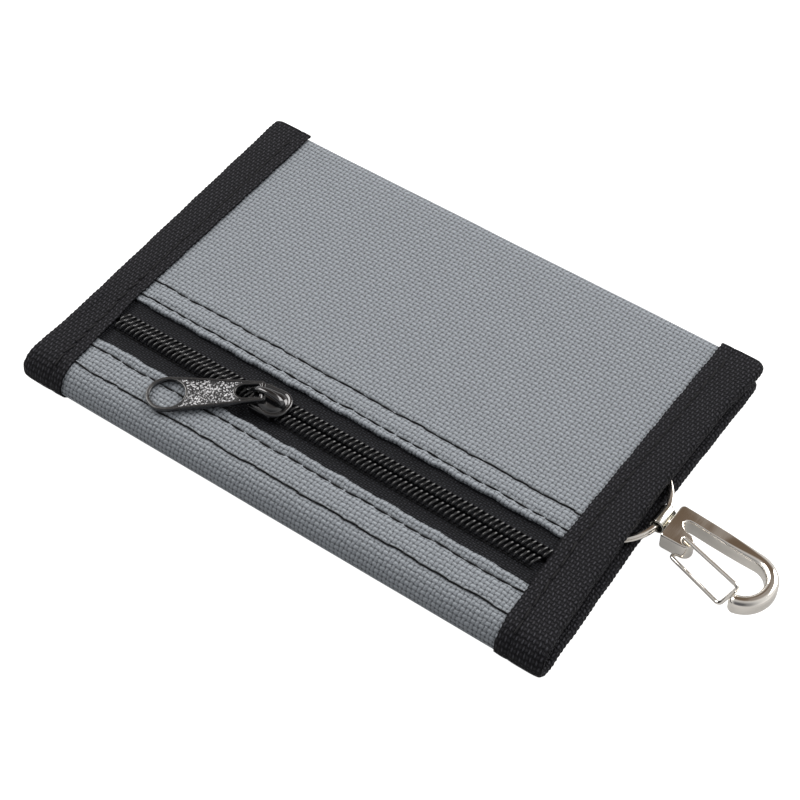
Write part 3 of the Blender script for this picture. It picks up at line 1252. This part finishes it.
pivot = Vector(joint("puller_flip")["pos_m"]) / MM
hinge_axis = Vector(joint("puller_flip")["axis"])
lengthways = Vector((-hinge_axis.y, hinge_axis.x, 0))
tilt = math.radians(3.4)
forward = (lengthways * math.cos(tilt) - Vector((0, 0, math.sin(tilt)))).normalized()
widthways = Vector((0, 0, 1)).cross(lengthways)
place = Matrix((forward, widthways, forward.cross(widthways))).transposed().to_4x4()
place = Matrix.Translation(pivot) @ place
HOLE_X, HOLE_R, ROUND_R = 19.25, 3.62, 4.4
outline = hull_loop([(HOLE_X, 0, ROUND_R), (0.35, 1.65, 0.9), (0.35, -1.65, 0.9)], 72)
hole = circle_loop(HOLE_X, 0, HOLE_R)
slot_loop = hull_loop([(1.05, 1.25, 0.45), (1.05, -1.25, 0.45), (3.75, 0, 1.7)], 40)
panel = hull_loop([(HOLE_X, 0, ROUND_R - 0.35), (0.6, 1.5, 0.7), (0.6, -1.5, 0.7)], 72)
window_loop = inset(outline, 0.62)
puller_parts = [
    (*plate_mesh(panel, [circle_loop(HOLE_X, 0, HOLE_R + 0.12), inset(slot_loop, -0.15)], -0.36, 0.36,
                 0.05, 2), 1),
    (*plate_mesh(outline, [window_loop], -0.5, 0.5, 0.2), 0),
    (*plate_mesh(circle_loop(HOLE_X, 0, HOLE_R + 0.55), [hole], -0.5, 0.5, 0.2), 0),
    (*plate_mesh(inset(slot_loop, -0.55), [slot_loop], -0.5, 0.5, 0.18), 0)]
bar_ends, bar_scale = round_ends([(0, -1.9, 0), (0, 1.9, 0)], 0.55)
puller_parts.append((*wire_mesh(bar_ends, round_section(0.55, 14), bar_scale), 0))
puller = solid_piece("zip_puller", puller_parts, [lacquer, stipple], place)
fits(puller, "puller", "black_lacquer", "pull_tab")
print("slider and puller:", len(slider.data.polygons), len(puller.data.polygons), "faces")

# %% [markdown]
# ## Split ring, swivel and snap hook
# The ring is one flat wire wound twice, with its crossing hidden between the covers. The swivel's eye is a
# band bent round the ring. The hook is cast with a flat face at the shoulder and an almost round section at
# the bend, and the gate is one bent wire sprung into two holes in the boss.

# %% Split ring
eye_centre = Vector(joint("swivel_tilt")["pos_m"]) / MM
ring_low, ring_high = span("split_ring")
ring_mid = Vector((ring_low + ring_high) / 2)
RING_WIDE, RING_TALL = 1.3, (ring_high[2] - ring_low[2]) / 2 - 0.13
RING_R = (ring_high[0] - ring_low[0]) / 2 - 0.75
degrees = np.arange(150 + 14, 150 + 720 - 14, 4.0)
level_share = np.clip((degrees - (510 - 13)) / 26, 0, 1)
heights = ring_mid.z + (level_share * level_share * (3 - 2 * level_share) - 0.5) * (RING_TALL + 0.2)
ring_path = np.stack([ring_mid.x + RING_R * np.cos(np.radians(degrees)),
                      ring_mid.y + RING_R * np.sin(np.radians(degrees)), heights], -1)
ring_ends, ring_scale = round_ends(ring_path, 0.4, 3)
ring_part = wire_mesh(ring_ends, box_section(RING_WIDE, RING_TALL, 0.3), ring_scale)
split_ring = solid_piece("nickel_split_ring", [(*ring_part, 0)], [nickel])
fits(split_ring, "ring", "nickel", "split_ring")

# %% Swivel eye
hook_origin = Vector(joint("hook_spin")["pos_m"]) / MM
upright = Matrix.Translation(eye_centre) @ Matrix.Rotation(math.radians(90), 4, "X")
eye_outline = hull_loop([(0, 0, 1.75)], 56)
band = plate_mesh(eye_outline, [circle_loop(0, 0, 1.2, 40)], -2.4, 2.4, 0.22)
neck = plate_mesh(hull_loop([(1.2, 0.9, 0.2), (1.2, -0.9, 0.2), (1.4, 0.8, 0.2), (1.4, -0.8, 0.2)], 12), [],
                  -1.9, 1.9, 0.18)
eye = solid_piece("swivel_band", [(*band, 0), (*neck, 0)], [band_nickel], upright)
stem_line, stem_scale = round_ends([(eye_centre.x + 1.5, eye_centre.y, eye_centre.z),
                                    (hook_origin.x + 1.9, eye_centre.y, eye_centre.z)], 0.4, 3)
stem = solid_piece("swivel_stem", [(*wire_mesh(stem_line, round_section(1.05, 20), stem_scale), 0)], [nickel])
fits(eye, "swivel", "nickel", "swivel_eye")
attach(stem, "swivel")
for slot in frame["nodes"]["swivel_rivet"].material_slots:
    slot.material = nickel

# %% Hook body
SHOULDER_FAR, SHOULDER_NEAR, ARM = 4.1, -4.9, 2.7
BEND_X, BEND_R, TIP_TURN = 18.0, 6.9, -75.0
BEND_Y = SHOULDER_FAR - 1.1 - BEND_R
BOSS_R = 1.75


def arc(x, y, radius, start, end, steps):
    angle = np.radians(np.linspace(start, end, steps))
    return [(x + radius * math.cos(a), y + radius * math.sin(a)) for a in angle]


tip_x = BEND_X + (BEND_R - ARM / 2) * math.cos(math.radians(TIP_TURN))
tip_y = BEND_Y + (BEND_R - ARM / 2) * math.sin(math.radians(TIP_TURN))
hook_loop = np.array([
    *arc(0.8, SHOULDER_NEAR + 0.8, 0.8, 180, 270, 6),
    *arc(4.9, SHOULDER_NEAR + BOSS_R, BOSS_R, -90, 75, 16),
    (4.0, -1.15), (3.3, -0.75), (2.75, -0.2), (2.5, 0.35), (2.75, 0.95), (3.3, 1.25), (4.2, 1.27),
    (5.5, 1.18), (8.0, 0.98), (12.0, 0.68), (15.0, 0.46),
    *arc(BEND_X, BEND_Y, BEND_R - ARM, 90, TIP_TURN, 26),
    *arc(tip_x, tip_y, ARM / 2, TIP_TURN + 180, TIP_TURN + 360, 12)[1:-1],
    *arc(BEND_X, BEND_Y, BEND_R, TIP_TURN, 90, 40),
    (15.0, 3.2), (11.0, 3.46), (7.0, 3.72), (3.0, 3.98),
    *arc(0.9, SHOULDER_FAR - 0.9, 0.9, 85, 180, 6)])
toward_bend = np.clip((hook_loop[:, 0] - 9.0) / 10.0, 0, 1)
hook_edge = 0.34 + 0.74 * toward_bend ** 1.3
hook_part = plate_mesh(hook_loop, [], -1.95, 1.95, hook_edge, 6)
hook_piece = solid_piece("snap_hook", [(*hook_part, 0)], [nickel], Matrix.Translation(hook_origin))
fits(hook_piece, "hook", "nickel", "hook_body")

# %% Gate wire
GATE_PIVOT = (4.3, SHOULDER_NEAR + BOSS_R)
WIRE_Z = 2.58
gate_line = rounded_path([(*GATE_PIVOT, 1.3), (*GATE_PIVOT, WIRE_Z), (18.8, -7.3, WIRE_Z),
                          (16.4, -9.4, -WIRE_Z), (3.0, -5.0, -WIRE_Z), (*GATE_PIVOT, -WIRE_Z),
                          (*GATE_PIVOT, -1.3)], 1.1, 7)
gate_ends, gate_scale = round_ends(gate_line, 0.42, 3)
gate_part = wire_mesh(gate_ends, round_section(0.42, 12), gate_scale)
gate = solid_piece("gate_spring_wire", [(*gate_part, 0)], [nickel], Matrix.Translation(hook_origin))
fits(gate, "gate", "nickel", "gate_wire")
print("hook and gate:", len(hook_piece.data.polygons), len(gate.data.polygons), "faces")


# %% [markdown]
# ## Inside the covers
# Opened flat, the wallet shows black nylon: two stepped card pockets and their backing on one side, a lining
# with a clear window on the other, and a patch of touch fastener near each free edge. Each layer is a thin
# sheet in its CAD layer's place, with a hem at its mouth and a row of stitches below it.

# %% Linings
LINING_START = FOLD_CENTRE_Y + 0.6
LINING_T = 0.2


def lining(name, node, body, phase, hem=True, inner_up=True):
    """A thin lined layer; its far edge is folded into a hem."""
    low, high = span(node)
    mid = (low[2] + high[2]) / 2
    lift = 0.05 if inner_up else -0.05
    ends = [(LINING_START, mid), (-20, mid), (5, mid), (high[1] - 6.5, mid)] if high[1] > 15 else \
        [(LINING_START, mid), (-20, mid), (high[1] - 6.5, mid)]
    ends += [(high[1] - 5.2, mid + lift), (high[1] - 1.0, mid + lift), (high[1] - 0.2, mid + lift * 0.6)]
    if hem:
        ends += [(high[1] - 0.1, mid - lift * 0.6), (high[1] - 1.0, mid - lift * 1.6),
                 (high[1] - 4.5, mid - lift * 1.6)]
    profile = smooth_line(ends, 0.6, 2.5)
    xs = np.linspace(-layer_x + 0.3, layer_x - 0.3, 80)
    grid = carry(profile, xs, sign=0.0)
    grid[..., 2] += 0.03 * ripple(grid[..., 0], phase, 29.0) * np.cos(grid[..., 1] / 7.0)
    piece = sheet_piece(name, grid if not inner_up else grid[:, ::-1], LINING_T, lining_cloth)
    return fits(piece, body, "lining_cloth", node)


lining("note_divider", "bill_divider", "back_cover", 0.2)
backing = lining("card_pocket_backing", "card_backing", "back_cover", 1.0)
rear_pocket = lining("card_pocket_back", "card_pocket_rear", "back_cover", 1.7)
front_pocket = lining("card_pocket_fore", "card_pocket_front", "back_cover", 2.9)
lining("coin_pocket_inner", "coin_pocket_lining", "front_cover", 3.3, inner_up=False)
lining("front_cover_lining", "front_lining", "front_cover", 4.1, inner_up=False)

# %% Hem stitches inside
hem_rows = []
for piece in (rear_pocket, front_pocket, backing):
    edge_y = max(v.co.y for v in piece.data.vertices) / MM - 4.0
    row = [(x, edge_y + 0.1 * ripple(x, 1.0, 19.0), 2.6) for x in np.linspace(-tape_in_x, tape_in_x, 60)]
    hem_rows.append(drop_on(piece, row, [(0, 0, -1)] * len(row), 0.04))
hem_stitches = repeat("pocket_hem_stitches", hem_rows, spindle, ROW_PITCH, thread_nylon,
                      (0.02, 0.02, 0.04), 9)
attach(hem_stitches, "back_cover")

# %% Lining of the fold
for upper, half, cover, bend in ((True, "upper", "front_cover", UPPER_BEND),
                                 (False, "lower", "back_cover", LOWER_BEND)):
    half_fold = fold_line(0.75, upper, 14)
    grid = carry(half_fold, np.linspace(-layer_x, layer_x, 60), sign=0.0)
    inside = sheet_piece(f"fold_lining_{half}", grid[:, ::-1] if upper else grid, 0.2, lining_cloth)
    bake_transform(inside)

# %% Window and its edging
def box_loop(low, high, corner):
    """A rectangle with round corners, between two corners of a box."""
    return hull_loop([(x, y, corner) for x in (low[0] + corner, high[0] - corner)
                      for y in (low[1] + corner, high[1] - corner)], 24)


rim_low, rim_high = span("id_window_frame")
pane_low, pane_high = span("id_window")
edging_part = plate_mesh(box_loop(rim_low, rim_high, 2.0), [box_loop(pane_low, pane_high, 3.0)],
                         rim_low[2] - 0.1, rim_high[2], 0.1, 3)
edging = solid_piece("window_edging", [(*edging_part, 0)], [black_vinyl])
fits(edging, "front_cover", "window_frame", "id_window_frame")
pane_part = plate_mesh(box_loop(pane_low - 1, pane_high + 1, 3.0), [], pane_low[2], pane_high[2], 0.04, 2)
pane = solid_piece("window_pane", [(*pane_part, 0)], [clear_vinyl])
fits(pane, "front_cover", "clear_vinyl", "id_window")

# %% Touch fastener
loop_low, loop_high = span("loop_fastener")
hooks_low, hooks_high = span("hook_fastener")
loops_part = plate_mesh(box_loop(loop_low, loop_high, 0.8), [], loop_low[2], loop_high[2], 0.6, 4)
loops = solid_piece("loop_patch", [(*loops_part, 0)], [fleece])
fits(loops, "back_cover", "touch_fastener", "loop_fastener")
base_part = plate_mesh(box_loop(hooks_low, hooks_high, 0.8), [], hooks_high[2] - 1.1, hooks_high[2], 0.15, 2)
hook_base = solid_piece("hook_patch", [(*base_part, 0)], [black_vinyl])
fits(hook_base, "front_cover", "touch_fastener", "hook_fastener")
crook = rounded_path([(0, 0, 0.2), (0, 0, -0.75), (0.35, 0, -0.9), (0.5, 0, -0.55)], 0.3, 3)
crook_shape = solid_piece("crook_shape", [(*wire_mesh(crook, round_section(0.11, 4)), 0)], [black_vinyl])
crook_rows = [[(hooks_low[0] + 1, y, hooks_high[2] - 1.1), (hooks_high[0] - 1, y, hooks_high[2] - 1.1)]
              for y in np.arange(hooks_low[1] + 1.0, hooks_high[1] - 0.6, 1.3)]
crooks = repeat("hook_patch_crooks", crook_rows, crook_shape, 1.3, black_vinyl, (0.1, 0.1, 0.6), 21)
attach(crooks, "front_cover")

# %% Webbing tab for the ring
tab_low, tab_high = span("ring_tab")
bend_x = tab_high[0] - 1.4
tab_line = smooth_line([(tab_low[0], 2.42), (36.5, 2.42), (38.8, 2.8), (bend_x, mid_z - 1.2),
                        (bend_x + 0.85, mid_z - 0.85), (bend_x + 1.2, mid_z), (bend_x + 0.85, mid_z + 0.85),
                        (bend_x, mid_z + 1.2), (39.6, mid_z + 0.9), (37.4, 3.3), (36.2, 2.84),
                        (tab_low[0], 2.84)], 0.4, 1.5)
tab_ys = np.linspace(tab_low[1], tab_high[1], 14)
tab_grid = np.stack(np.broadcast_arrays(tab_line[:, None, 0], tab_ys[None, :], tab_line[:, None, 1]), -1)
tab = sheet_piece("ring_webbing", tab_grid[::-1], 0.38, webbing)
fits(tab, "back_cover", "webbing", "ring_tab")

# %% [markdown]
# The shapes that were only copied from are removed. Each length of cloth is declared with the size it is cut
# to, which is its own length over every fold times its width.

# %% Remove the shapes that were copied
for shape in (spindle, tooth, crook_shape):
    bpy.data.objects.remove(shape)


def cut_size(piece):
    """Width and length of the flat cloth, from its UV map."""
    uv = np.empty(len(piece.data.loops) * 2, np.float32)
    piece.data.uv_layers["cloth"].data.foreach_get("uv", uv)
    return tuple(float(s) * MM for s in uv.reshape(-1, 2).max(0))


cloth_lies_on = {
    "front_cloth": ("folded", "coin_pocket_inner"), "fold_cloth": ("folded", "zip_tape_cloth_lower"),
    "back_cloth": ("folded", "note_divider"), "zip_tape_cloth_upper": ("laid", "coin_pocket_inner"),
    "coin_pocket_inner": ("laid", "front_cover_lining"),
    "front_cover_lining": ("laid", "card_pocket_fore"), "note_divider": ("laid", "back_cloth"),
    "card_pocket_backing": ("laid", "note_divider"), "card_pocket_back": ("laid", "card_pocket_backing"),
    "card_pocket_fore": ("laid", "card_pocket_back")}
for cover, cloth in (("front", "front_cloth"), ("back", "back_cloth")):
    for hand in ("left", "right"):
        cloth_lies_on[f"{cover}_tape_{hand}"] = ("folded", cloth)
for name, (held, lies_on) in cloth_lies_on.items():
    piece = bpy.data.objects[name]
    cut_size(piece)
    print(piece.name, "cut size (m):", [round(s, 4) for s in cut_size(piece)])
